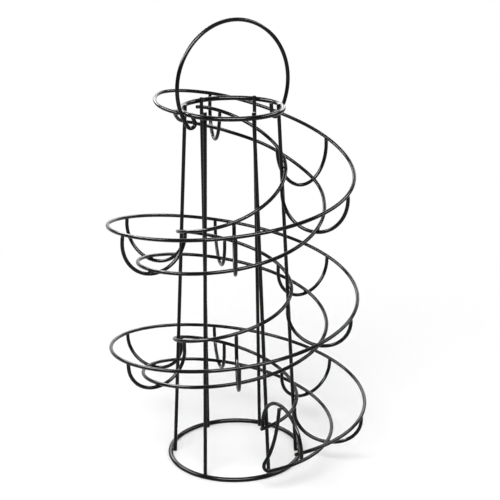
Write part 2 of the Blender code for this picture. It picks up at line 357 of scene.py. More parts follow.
def weld_beads(starts: Floats, ends: Floats, waist: float, flare: float) -> Surface:
    """Beads of metal between pairs of wires, drawn in at the middle like an hourglass.

    At the share t of the way from one wire's centreline to the other's, a bead's radius is
    waist + flare * (2t - 1)^2, times 1 + two * sin(2 * turn + lean) + three * sin(3 * turn - lean), where
    two and three are the sizes of its lumps and the lean differs from bead to bead. Its ends are inside the
    wires.

    Args:
        starts: a place on the first wire's centreline for each bead.
        ends: a place on the second wire's centreline for each bead.
        waist: the radius at the middle.
        flare: how much wider a bead is at its ends.

    Returns:
        All the beads in one surface.
    """
    heading = unit(ends - starts)
    helper = np.where(np.abs(heading[:, 2:3]) > STEEP, np.array((1.0, 0.0, 0.0)), UP)
    across = unit(np.cross(heading, helper))
    other = np.cross(heading, across)
    count = len(starts)
    share = np.linspace(*BEAD_SHARES, BEAD_RINGS)
    turn = np.arange(BEAD_SIDES) * (2 * math.pi / BEAD_SIDES)
    lean = (np.arange(count) * BEAD_LEAN)[:, None, None]
    two, three = BEAD_LUMPS
    lumps = 1.0 + two * np.sin(2 * turn + lean) + three * np.sin(3 * turn - lean)
    profile = waist + flare * (2 * share - 1) ** 2
    centres = starts[:, None] + (ends - starts)[:, None] * share[None, :, None]
    spokes = np.cos(turn)[None, :, None] * across[:, None] + np.sin(turn)[None, :, None] * other[:, None]
    sizes = profile[None, :, None] * lumps
    points = centres[:, :, None] + spokes[:, None] * sizes[..., None]
    normals = np.broadcast_to(spokes[:, None], points.shape)
    ring_points = BEAD_RINGS * BEAD_SIDES
    stride = ring_points + 2
    points = np.concatenate((points.reshape(count, -1, 3), centres[:, :1], centres[:, -1:]), axis=1)
    normals = np.concatenate((normals.reshape(count, -1, 3), -heading[:, None], heading[:, None]), axis=1)
    base = (np.arange(count) * stride)[:, None, None]
    tube = tube_faces(BEAD_RINGS, BEAD_SIDES, False)
    lead = pole_faces(0, ring_points, BEAD_SIDES, True)
    trail = pole_faces(ring_points - BEAD_SIDES, ring_points + 1, BEAD_SIDES, False)
    quads = (tube[None] + base).reshape(-1, 4)
    caps = (np.concatenate((lead, trail))[None] + base).reshape(-1, 3)
    station = np.repeat(np.arange(count), stride)
    return Surface(points.reshape(-1, 3), normals.reshape(-1, 3), station, quads, caps)


# Finishes


@dataclass
class Bench:
    """A material's node tree, with short ways to set nodes on it and join them."""

    tree: bpy.types.NodeTree

    def fill(self, node: bpy.types.Node, inputs: dict[str | int, object]) -> None:
        """Gives some of a node's inputs their values.

        Args:
            node: the node.
            inputs: by name or number, a number or a colour, or another node's output, which is joined to it.
        """
        for key, value in inputs.items():
            if isinstance(value, Socket):
                self.tree.links.new(value, node.inputs[key])
            else:
                node.inputs[key].default_value = value

    def node(self, kind: str, inputs: dict[str | int, object], **settings: object) -> bpy.types.Node:
        """Adds a node.

        Args:
            kind: Blender's name for its kind.
            inputs: what goes into it, by name or number.
            settings: its properties, by name.

        Returns:
            The node.
        """
        made = self.tree.nodes.new(kind)
        for name, value in settings.items():
            setattr(made, name, value)
        self.fill(made, inputs)
        return made

    def reckon(self, operation: str, *values: object, clamp: bool = False) -> Socket:
        """Works something out in one Math node.

        Args:
            operation: what it does.
            values: its inputs, each a number or another node's output.
            clamp: whether the result is kept between 0 and 1.

        Returns:
            Its result.
        """
        inputs = dict(enumerate(values))
        return self.node("ShaderNodeMath", inputs, operation=operation, use_clamp=clamp).outputs[0]

    def noise(self, where: Socket, pattern: Pattern) -> Socket:
        """Cloudy noise.

        Args:
            where: the place that it is read at.
            pattern: how many lumps it has to the metre, and how many finer layers lie over them.

        Returns:
            The noise, from 0 to 1.
        """
        scale, detail = pattern
        inputs = {"Vector": where, "Scale": scale, "Detail": detail, "Roughness": NOISE_ROUGHNESS}
        return self.node("ShaderNodeTexNoise", inputs).outputs["Fac"]

    def spread(self, value: Socket, span: Span, onto: Span = (0.0, 1.0)) -> Socket:
        """Carries one range of numbers smoothly onto another and stops at its ends.

        Args:
            value: the number.
            span: where it starts and ends.
            onto: what these two become.

        Returns:
            start + (end - start) * (3t^2 - 2t^3) of the second range, where t is the share of the first.
        """
        names = ("From Min", "From Max", "To Min", "To Max")
        inputs = {"Value": value, **dict(zip(names, (*span, *onto)))}
        made = self.node("ShaderNodeMapRange", inputs, interpolation_type="SMOOTHSTEP", clamp=True)
        return made.outputs["Result"]

    def mixed(self, share: object, one: object, other: object) -> Socket:
        """Mixes two colours.

        Args:
            share: how much of the other there is, 0 to 1.
            one: the first colour.
            other: the second colour.

        Returns:
            one * (1 - share) + other * share.
        """
        inputs = {0: share, 6: one, 7: other}
        return self.node("ShaderNodeMix", inputs, data_type="RGBA", blend_type="MIX").outputs[2]

    def here(self) -> Socket:
        """Each place in the piece's own coordinates."""
        return self.node("ShaderNodeTexCoord", {}).outputs["Object"]

    def white_glow(self, strength: object) -> Socket:
        """White light that a surface gives off.

        Args:
            strength: a number or another node's output.

        Returns:
            The shader's output.
        """
        return self.node("ShaderNodeEmission", {"Color": WHITE, "Strength": strength}).outputs[0]


# How strong each finer layer of noise is beside the last
NOISE_ROUGHNESS = 0.55

# The coat's patterns, from the slow drift of its grey down to its grain, and its grits to the metre
DRIFT = (42.0, 2.0)
BLOTCH = (210.0, 3.0)
PEEL = (1150.0, 2.0)
GRAIN = (4200.0, 2.0)
GRIT_SCALE = 300.0

# Between which values the drift, the blotches and the grits of the coat come in
DRIFT_BAND = (0.38, 0.66)
BLOTCH_BAND = (0.3, 0.7)
GRIT_BAND = (0.05, 0.12)

# The dust: its colour, how far a place has to face up, which blotches gather it, and its least share
DUST_COLOUR = (0.30, 0.29, 0.27, 1.0)
DUST_FACING = (0.35, 1.0)
DUST_BAND = (0.42, 0.68)
DUST_LEAST = 0.15

# How much dust and rubbing roughen or smooth the shine, and how much rubbing pales the coat
DUST_ROUGHER = 0.08
RUB_SMOOTHER = 0.04
RUB_PALER = 0.8

# The blotches' spread of roughness, the grain's and the grits' heights beside the peel's, and the bump
SPREAD_OF_GLOSS = (-0.03, 0.04)
GRAIN_HEIGHT = 0.12
GRIT_HEIGHT = 0.9
BUMP_STRENGTH = 0.06

# How strongly the coat bends light
IOR_OF_COAT = 1.5

# The drift's warmer black and the rubbed coat's paler one, as shares of the coat's own
WARMER = (1.35, 1.2, 1.05)
PALER = 1.6
PALER_LIFT = 0.003


@dataclass(frozen=True)
class BlackCoat:
    """A black coat baked on steel wire: semi-gloss, with a fine orange peel, a few grits and faint dust.

    Attributes:
        name: the material's name.
        slot: the record's slot that it finishes.
        colour: the coat's own near-black.
        gloss: how rough the coat's own shine is, 0 for a mirror.
        varnish: how much of a clearer skin lies over it.
        varnish_gloss: how rough that skin's shine is.
        shine: the strength of the coat's reflection.
        peel: how deep the orange peel is.
        dust: how much dust lies on what faces up.
        offset: moves the patterns, so that no two finishes match.
    """

    name: str
    slot: Slot
    colour: Colour
    gloss: float = 0.16
    varnish: float = 0.10
    varnish_gloss: float = 0.06
    shine: float = 0.09
    peel: float = 0.000022
    dust: float = 0.012
    offset: Place = (0.0, 0.0, 0.0)

    def material(self) -> bpy.types.Material:
        """Builds the finish.

        The coat's grey drifts slowly along the wire. Where a piece is rubbed the coat is smoother and a
        shade lighter. Its roughness changes from blotch to blotch, and its peel and grits are a bump.

        Returns:
            The material, ready to put on a piece.
        """
        made = bpy.data.materials.new(self.name)
        made.use_nodes = True
        made.diffuse_color = (*self.colour, 1.0)
        bench = Bench(made.node_tree)
        spots = bench.node("ShaderNodeTexCoord", {})
        moved = bench.node("ShaderNodeMapping", {"Vector": spots.outputs["Object"], "Location": self.offset})
        where = moved.outputs["Vector"]
        drift, blotch, peel, grain = (bench.noise(where, pattern) for pattern in (DRIFT, BLOTCH, PEEL, GRAIN))
        rub = bench.node("ShaderNodeAttribute", {}, attribute_name=RUB).outputs["Fac"]
        grits = bench.node("ShaderNodeTexVoronoi", {"Vector": where, "Scale": GRIT_SCALE})
        grit = bench.spread(grits.outputs["Distance"], GRIT_BAND, (1.0, 0.0))
        facing = bench.node("ShaderNodeSeparateXYZ", {"Vector": spots.outputs["Normal"]})
        up = bench.spread(facing.outputs["Z"], DUST_FACING)
        settled = bench.reckon("MULTIPLY", up, bench.spread(blotch, DUST_BAND, (DUST_LEAST, 1.0)))
        paler = tuple(c * PALER + PALER_LIFT for c in self.colour)
        warmer = tuple(c * share for c, share in zip(self.colour, WARMER))
        tone = bench.mixed(bench.spread(drift, DRIFT_BAND), (*self.colour, 1.0), (*warmer, 1.0))
        worn = bench.mixed(bench.reckon("MULTIPLY", rub, RUB_PALER), tone, (*paler, 1.0))
        least, most = (self.gloss + change for change in SPREAD_OF_GLOSS)
        uneven = bench.spread(blotch, BLOTCH_BAND, (least, most))
        smooth = bench.reckon("SUBTRACT", uneven, bench.reckon("MULTIPLY", rub, RUB_SMOOTHER))
        fine = bench.reckon("MULTIPLY_ADD", grain, GRAIN_HEIGHT, peel)
        height = bench.reckon("MULTIPLY_ADD", grit, GRIT_HEIGHT, fine)
        relief = {"Height": height, "Strength": BUMP_STRENGTH, "Distance": self.peel}
        bench.fill(
            made.node_tree.nodes["Principled BSDF"],
            {
                "Base Color": bench.mixed(bench.reckon("MULTIPLY", settled, self.dust), worn, DUST_COLOUR),
                "Roughness": bench.reckon("MULTIPLY_ADD", settled, DUST_ROUGHER, smooth, clamp=True),
                "Normal": bench.node("ShaderNodeBump", relief).outputs["Normal"],
                "Metallic": 0.0,
                "IOR": IOR_OF_COAT,
                "Specular IOR Level": self.shine,
                "Coat Weight": self.varnish,
                "Coat Roughness": self.varnish_gloss,
            },
        )
        return made


CORE_COAT = BlackCoat("core_wire_coat", Slot.CORE_WIRE, (0.0044, 0.0044, 0.0045), gloss=0.18)
RAIL_COAT = BlackCoat(
    "rail_wire_coat", Slot.RAIL_WIRE, (0.0047, 0.0047, 0.0046), gloss=0.16, offset=(0.31, 0.07, 0.0)
)
BRACKET_COAT = BlackCoat(
    "bracket_wire_coat", Slot.BRACKET_WIRE, (0.0048, 0.0048, 0.0047), gloss=0.18, offset=(0.0, 0.43, 0.11)
)
BAIL_COAT = BlackCoat(
    "handle_wire_coat",
    Slot.HANDLE_WIRE,
    (0.0050, 0.0050, 0.0050),
    gloss=0.15,
    dust=0.008,
    offset=(0.17, 0.0, 0.29),
)

# The coat runs thick and lumpy over a weld
CORE_BEAD_COAT, RAIL_BEAD_COAT, BRACKET_BEAD_COAT = (
    BlackCoat(name, slot, colour, gloss=0.15, peel=0.00005)
    for name, slot, colour in (
        ("core_bead_coat", Slot.CORE_WIRE, (0.0047, 0.0047, 0.0047)),
        ("rail_bead_coat", Slot.RAIL_WIRE, (0.0048, 0.0048, 0.0047)),
        ("bracket_bead_coat", Slot.BRACKET_WIRE, (0.0048, 0.0048, 0.0047)),
    )
)


# The shop that makes the pieces


def placed(name: str, data: bpy.types.ID) -> bpy.types.Object:
    """Puts a new object into the scene.

    Args:
        name: its name.
        data: its mesh, lamp or lens.

    Returns:
        The object, at the origin.
    """
    made = bpy.data.objects.new(name, data)
    bpy.context.scene.collection.objects.link(made)
    return made


@dataclass
class Shop:
    """Makes each finish once, turns surfaces into pieces, and keeps count of them."""

    coats: dict[str, bpy.types.Material] = field(default_factory=dict)
    made: int = 0
    triangles: int = 0

    def coat(self, finish: BlackCoat) -> bpy.types.Material:
        """The material of a finish, built on its first use.

        Args:
            finish: which finish.

        Returns:
            The material.
        """
        if finish.name not in self.coats:
            self.coats[finish.name] = finish.material()
        return self.coats[finish.name]

    def piece(
        self,
        name: str,
        surface: Surface,
        finish: BlackCoat,
        stands_for: str = "",
        rub: Floats | None = None,
        body: Rides = Rides.RACK,
    ) -> None:
        """Makes a piece of a surface, dresses it and lets it ride on its body.

        Args:
            name: the piece's name.
            surface: its points and faces.
            finish: its coat.
            stands_for: the frame's node that it is shown in place of, if there is one.
            rub: how much each point has been rubbed, 0 to 1.
            body: what it moves with.
        """
        mesh = bpy.data.meshes.new(name)
        mesh.from_pydata(surface.points.tolist(), [], surface.quads.tolist() + surface.caps.tolist())
        mesh.polygons.foreach_set("use_smooth", np.ones(len(mesh.polygons), bool))
        worn = mesh.attributes.new(RUB, "FLOAT", "POINT")
        share = np.zeros(len(surface.points)) if rub is None else rub
        worn.data.foreach_set("value", share.astype(np.float32))
        mesh.materials.append(self.coat(finish))
        mesh.update()
        made = placed(name, mesh)
        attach(made, body.value)
        if stands_for:
            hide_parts(stands_for)
        count = 2 * len(surface.quads) + len(surface.caps)
        self.made += 1
        self.triangles += count
        LOG.info("%-18s %6d triangles, %s, rides on %s", name, count, finish.name, body.value)


@dataclass(frozen=True)
class SubAssembly:
    """A part of the rack that makes its wires and its welds in the shop.

    Each one's slimmer is the share of a solid's thickness that its dressed wire has, so that the coat's
    ripple stays inside the solid's own outline. Its bead is a weld's waist and flare, and its seeds say
    which ripples its wires have.
    """

    shop: Shop


# Core: two rings and six uprights


@dataclass(frozen=True)
class Core(SubAssembly):
    """The tapered core: a base ring on the floor, a smaller top ring, and uprights inside them."""

    base_radius: float = 0.0550
    top_radius: float = 0.0403
    frame_height: float = 0.2950
    ring_wire: float = 0.0038
    ring_facets: int = 8
    upright_wire: float = 0.0030
    standout: float = 0.0015
    foot_lift: float = 0.0005
    weld_gap: float = 0.0004
    top_azimuths: tuple[float, ...] = (-2, 60, 132, 182, 236, 297)
    foot_azimuths: tuple[float, ...] = (-2, 65, 118, 179, 241, 302)
    bail_azimuth: float = 31.0
    slimmer: float = 0.995
    rub_reach: Span = (0.0062, 0.0018)
    scuff_facing: Span = (-0.72, -1.0)
    bead: Bead = (0.00118, 0.0005)
    bead_floor: float = 0.0002
    ring_stations: int = 288
    upright_stations: int = 150
    ring_seeds: tuple[float, float] = (0.3, 1.1)
    upright_seed: float = 2.0

    @property
    def base_height(self) -> float:
        """The height of the base ring's centreline, whose solid lies on one of its facets."""
        return self.ring_wire / 2 * math.cos(math.pi / self.ring_facets)

    @property
    def top_height(self) -> float:
        """The height of the top ring's centreline."""
        return self.base_height + self.frame_height

    def seat(self, one_wire: float, other_wire: float) -> float:
        """The distance between the centrelines of two wires welded side by side."""
        return (one_wire + other_wire) / 2 + self.weld_gap

    def radius_at(self, height: Floats | float) -> Floats | float:
        """An upright's distance from the axis.

        Args:
            height: height over the floor.

        Returns:
            base * (1 - share) + top * share, where base and top are at the insides of the two rings.
        """
        inside = self.seat(self.ring_wire, self.upright_wire)
        share = (height - self.base_height) / self.frame_height
        return (self.base_radius - inside) * (1 - share) + (self.top_radius - inside) * share

    def upright_ends(self) -> tuple[Floats, Floats]:
        """Where the six uprights end.

        Returns:
            Their feet and their tops, one row each.
        """
        foot = self.foot_lift
        top = self.top_height + self.ring_wire / 2 + self.standout
        feet = polar(self.radius_at(foot), np.array(self.foot_azimuths), foot)
        tops = polar(self.radius_at(top), np.array(self.top_azimuths), top)
        return feet, tops

    def upright_at(self, height: float) -> Floats:
        """Where the six uprights' centrelines pass a height.

        Args:
            height: height over the floor.

        Returns:
            foot + (top - foot) * share, one row for each.
        """
        feet, tops = self.upright_ends()
        share = (height - feet[:, 2]) / (tops[:, 2] - feet[:, 2])
        return feet + (tops - feet) * share[:, None]

    def ring_surface(self, radius: float, height: float, seed: float) -> Surface:
        """A closed ring of wire.

        Args:
            radius: its centreline's distance from the axis.
            height: its centreline's height.
            seed: which ripple its coat has.

        Returns:
            Its surface.
        """
        azimuth = np.arange(self.ring_stations) * (360.0 / self.ring_stations)
        path = polar(radius, azimuth, height)
        return sweep_wire(path, self.ring_wire / 2, outward(azimuth), WireForm.CLOSED, seed)

    def build(self) -> None:
        """Makes the two rings and the six uprights."""
        base_seed, top_seed = self.ring_seeds
        base = self.ring_surface(self.base_radius, self.base_height, base_seed)
        base.points[:, 2] = np.maximum(base.points[:, 2], 0.0)
        scuffed = smoothstep(*self.scuff_facing, base.normals[:, 2])
        self.shop.piece("base_ring_wire", base, CORE_COAT, "base_ring", scuffed)
        top = self.ring_surface(self.top_radius, self.top_height, top_seed)
        self.shop.piece("top_ring_wire", top, CORE_COAT, "top_ring", self.hook_rub(top))
        feet, tops = self.upright_ends()
        share = np.linspace(0.0, 1.0, self.upright_stations)[:, None]
        for i, (foot, summit) in enumerate(zip(feet, tops)):
            path = foot + (summit - foot) * share
            tangent = -plane_side(self.foot_azimuths[i])
            seed = self.upright_seed + i
            wire = sweep_wire(path, self.upright_wire / 2 * self.slimmer, tangent, WireForm.CUT, seed)
            self.shop.piece(f"upright_wire_{i + 1}", wire, CORE_COAT, f"upright_{i + 1}")

    def hook_rub(self, ring: Surface) -> Floats:
        """How much the bail's hooks have rubbed the top ring.

        Args:
            ring: the ring's surface.

        Returns:
            For each point a smooth step from 1 beside a hook to 0 a few millimetres off.
        """
        rubbed = np.zeros(len(ring.points))
        for azimuth in (self.bail_azimuth, self.bail_azimuth + 180.0):
            hook = polar(self.top_radius, azimuth, self.top_height)
            near = smoothstep(*self.rub_reach, np.linalg.norm(ring.points - hook, axis=1))
            rubbed = np.maximum(rubbed, near)
        return rubbed

    def weld(self) -> None:
        """Makes the bead at each upright's seat on the two rings."""
        starts, ends = [], []
        for radius, height in ((self.base_radius, self.base_height), (self.top_radius, self.top_height)):
            wires = self.upright_at(height)
            azimuth = np.degrees(np.arctan2(wires[:, 1] - CORE_AXIS[1], wires[:, 0] - CORE_AXIS[0]))
            starts.append(wires)
            ends.append(polar(radius, azimuth, height))
        beads = weld_beads(np.concatenate(starts), np.concatenate(ends), *self.bead)
        beads.points[:, 2] = np.maximum(beads.points[:, 2], self.bead_floor)
        self.shop.piece("core_welds", beads, CORE_BEAD_COAT)


# Channel: three rails


# A rail's distance out and height at some azimuths
RailLine = Callable[[Floats], tuple[Floats, Floats]]


@dataclass(frozen=True)
class Rails(SubAssembly):
    """The three rails of the channel, which winds down round the core.

    The outer rail's distance out is a share of the way from the top ring's weld to its full radius. The
    inner rail lies on the uprights. The lower rail lies a share of the way across between them, and a
    share of the channel's depth below their mean height.
    """

    core: Core
    outer_radius: float = 0.1000
    wire: float = 0.0030
    depth: float = 0.0275
    outer_span: Span = (203, -785)
    inner_span: Span = (135, -787)
    lower_span: Span = (194, -797.5)
    outer_spread: Stations = Stations(
        (
            (203, 0.0), (178, 0.226), (140, 0.509), (105, 0.544), (45, 0.747), (0, 0.919),
            (-90, 0.98), (-360, 1.02), (-600, 1.056), (-720, 1.157), (-784, 1.152),
        )
    )
    outer_height: Stations = Stations(
        (
            (203, 1.0), (178, 1.006), (140, 1.014), (105, 0.993), (45, 0.909), (0, 0.834),
            (-180, 0.683), (-360, 0.477), (-540, 0.328), (-720, 0.162), (-784, 0.150),
        )
    )
    inner_height: Stations = Stations(
        (
            (195, 0.986), (127, 0.981), (20, 0.866), (-90, 0.728), (-180, 0.660),
            (-360, 0.497), (-540, 0.345), (-720, 0.170), (-787, 0.141),
        )
    )
    lower_across: Stations = Stations(
        (
            (160, 0.178), (130, 0.124), (97, 0.317), (61, 0.582), (32, 0.695), (0, 0.586),
            (-90, 0.597), (-180, 0.587), (-360, 0.538), (-720, 0.52), (-790, 0.54),
        )
    )
    lower_depth: Stations = Stations(
        (
            (180, 0.05), (160, 0.44), (130, 0.67), (97, 0.76), (61, 0.85), (32, 1.09), (-30, 1.11),
            (-180, 1.03), (-360, 0.99), (-540, 0.96), (-720, 0.91), (-790, 0.83),
        )
    )
    outer_welds: tuple[float, ...] = (202.2, 201.2, 200.3)
    lower_welds: tuple[float, ...] = (193.3, 192.4, 191.5)
    slimmer: float = 0.985
    tuck: float = 0.0001
    egg_lift: float = 0.004
    egg_facing: Span = (0.55, 0.98)
    bead: Bead = (0.00112, 0.00045)
    step: float = 1.5
    fall_step: float = 6.0
    crossing_step: float = 0.1
    seeds: tuple[float, ...] = (11.0, 12.0, 13.0)

    def height(self, share: Floats) -> Floats:
        """A height given as a share of the way from the base ring to the top ring."""
        return self.core.base_height + self.core.frame_height * share

    @property
    def weld_radius(self) -> float:
        """The distance out of a rail that lies on the top ring's outer side."""
        return self.core.top_radius + self.core.seat(self.core.ring_wire, self.wire)

    def outer(self, azimuth: Floats | float) -> tuple[Floats, Floats]:
        """The outer rail's distance out and height."""
        radius = self.weld_radius + (self.outer_radius - self.weld_radius) * self.outer_spread.at(azimuth)
        return radius, self.height(self.outer_height.at(azimuth))

    def inner(self, azimuth: Floats | float) -> tuple[Floats, Floats]:
        """The inner rail's distance out and height, on the outer side of the uprights."""
        height = self.height(self.inner_height.at(azimuth))
        return self.core.radius_at(height) + self.core.seat(self.core.upright_wire, self.wire), height

    def lower(self, azimuth: Floats | float) -> tuple[Floats, Floats]:
        """The lower rail's distance out and height. It first comes down from the top ring's outer side.

        Args:
            azimuth: degrees, falling downhill.

        Returns:
            inner + (outer - inner) * across, and the mean of their heights - depth * drop.
        """
        first = self.lower_span[0]
        outer_radius, outer_height = self.outer(first)
        inner_radius, inner_height = self.inner(first)
        start_across = float((self.weld_radius - inner_radius) / (outer_radius - inner_radius))
        start_drop = float((outer_height + inner_height) / 2 - self.core.top_height) / self.depth
        across = Stations(((first, start_across), *self.lower_across.marks)).at(azimuth)
        drop = Stations(((first, start_drop), *self.lower_depth.marks)).at(azimuth)
        outer_radius, outer_height = self.outer(azimuth)
        inner_radius, inner_height = self.inner(azimuth)
        radius = inner_radius + (outer_radius - inner_radius) * across
        return radius, (outer_height + inner_height) / 2 - self.depth * drop

    def section(self, azimuth: float) -> tuple[Floats, Floats, Floats]:
        """The outer, inner and lower rail in the upright plane at an azimuth, as (distance out, height)."""
        rails = (self.outer, self.inner, self.lower)
        return tuple(np.array([float(v) for v in rail(azimuth)]) for rail in rails)

    def azimuths(self, span: Span) -> Floats:
        """Even steps of azimuth from a rail's upper end to its lower end."""
        first, last = span
        return np.linspace(first, last, math.ceil((first - last) / self.step) + 1)

    def path(self, rail: RailLine, span: Span) -> Floats:
        """A rail's centreline.

        Args:
            rail: which rail.
            span: the azimuths of its two ends.

        Returns:
            One row for each step of azimuth.
        """
        azimuth = self.azimuths(span)
        radius, height = rail(azimuth)
        return polar(radius - self.tuck, azimuth, height)

    def fall(self, rail: RailLine, azimuth: float) -> float:
        """How steep a rail is.

        Args:
            rail: which rail.
            azimuth: where.

        Returns:
            How far it falls for each length that it runs on the level.
        """
        azimuths = np.array((azimuth, azimuth - self.fall_step))
        radius, height = rail(azimuths)
        run = np.diff(polar(radius, azimuths, height), axis=0)[0]
        return abs(run[2]) / math.hypot(run[0], run[1])

    def egg_rub(self, wire: Surface, azimuth: Floats) -> Floats:
        """How much eggs have polished a rail: most where it faces the middle of the egg that rolls past.

        Args:
            wire: the rail's surface.
            azimuth: the azimuth of each of its stations.

        Returns:
            For each point a smooth step of the cosine between its normal and the way to the egg.
        """
        outer_radius, outer_height = self.outer(azimuth)
        inner_radius, inner_height = self.inner(azimuth)
        egg_height = (outer_height + inner_height) / 2 + self.egg_lift
        egg = polar((outer_radius + inner_radius) / 2, azimuth, egg_height)
        towards = unit(egg[wire.station] - wire.points)
        return smoothstep(*self.egg_facing, (wire.normals * towards).sum(axis=1))

    def build(self, stop: "EndStop") -> None:
        """Makes the three rails. The lower one runs on past the stop and turns up to its crown.

        Args:
            stop: says where the lower rail's end is welded.
        """
        lower = stop.upturned(self.path(self.lower, self.lower_span))
        wires = (
            ("outer_rail", self.path(self.outer, self.outer_span), self.outer_span),
            ("inner_rail", self.path(self.inner, self.inner_span), self.inner_span),
            ("lower_rail", lower, self.lower_span),
        )
        for (name, path, span), seed in zip(wires, self.seeds):
            azimuth = np.pad(self.azimuths(span), (0, len(path)), mode="edge")[: len(path)]
            wire = sweep_wire(path, self.wire / 2 * self.slimmer, outward(azimuth), WireForm.CUT, seed)
            self.shop.piece(f"{name}_wire", wire, RAIL_COAT, name, self.egg_rub(wire, azimuth))

    def crossings(self) -> tuple[Floats, Floats]:
        """Where the inner rail crosses the uprights.

        The rail's azimuth less an upright's azimuth at the rail's height goes through a whole number of
        turns there, so the crossing lies where the sign of its sine changes while its cosine is positive.

        Returns:
            The places on the rail's centreline, and the places beside them on the uprights' centrelines.
        """
        azimuth = np.arange(*self.inner_span, -self.crossing_step)
        radius, height = self.inner(azimuth)
        feet, tops = self.core.upright_ends()
        share = (height[:, None] - feet[None, :, 2]) / (tops - feet)[None, :, 2]
        wires = feet[None] + (tops - feet)[None] * share[..., None]
        flat = wires[..., :2] - CORE_AXIS[:2]
        beside = np.radians(azimuth)[:, None] - np.arctan2(flat[..., 1], flat[..., 0])
        turned = (np.sin(beside[:-1]) * np.sin(beside[1:]) <= 0) & (np.cos(beside[:-1]) > 0)
        step, upright = np.nonzero(turned)
        on_rail = polar(radius[step], azimuth[step], height[step])
        return on_rail, wires[step, upright]

    def weld(self) -> None:
        """Makes the beads of the inner rail on the uprights and of the rails' upper ends on the top ring."""
        on_rail, on_upright = self.crossings()
        LOG.info("the inner rail crosses the uprights %d times", len(on_rail))
        starts, ends = [on_rail], [on_upright]
        for rail, azimuths in ((self.outer, self.outer_welds), (self.lower, self.lower_welds)):
            azimuth = np.array(azimuths)
            radius, height = rail(azimuth)
            starts.append(polar(radius, azimuth, height))
            ends.append(polar(self.core.top_radius, azimuth, self.core.top_height))
        beads = weld_beads(np.concatenate(starts), np.concatenate(ends), *self.bead)
        self.shop.piece("rail_welds", beads, RAIL_BEAD_COAT)


# Brackets and the end stop


def lift(flat: Floats, azimuth: float) -> Floats:
    """Places given as (distance out, height) in the upright plane at an azimuth, in the frame."""
    return polar(flat[:, 0], azimuth, flat[:, 1])


def half_oval(
    centre: Floats, out: Floats, down: Floats, half_width: float, depth: float, steps: int
) -> Floats:
    """Half an oval: centre + out * half_width * cos(angle) + down * depth * sin(angle), angle 0 to 180.

    Args:
        centre: the middle of its width.
        out: the direction across it.
        down: the direction of its depth.
        half_width: half of its width.
        depth: how deep it is.
        steps: how many straight runs it is divided into.

    Returns:
        The places from one side of the width round to the other.
    """
    angle = np.linspace(0.0, math.pi, steps + 1)[:, None]
    return centre + out * half_width * np.cos(angle) + down * depth * np.sin(angle)


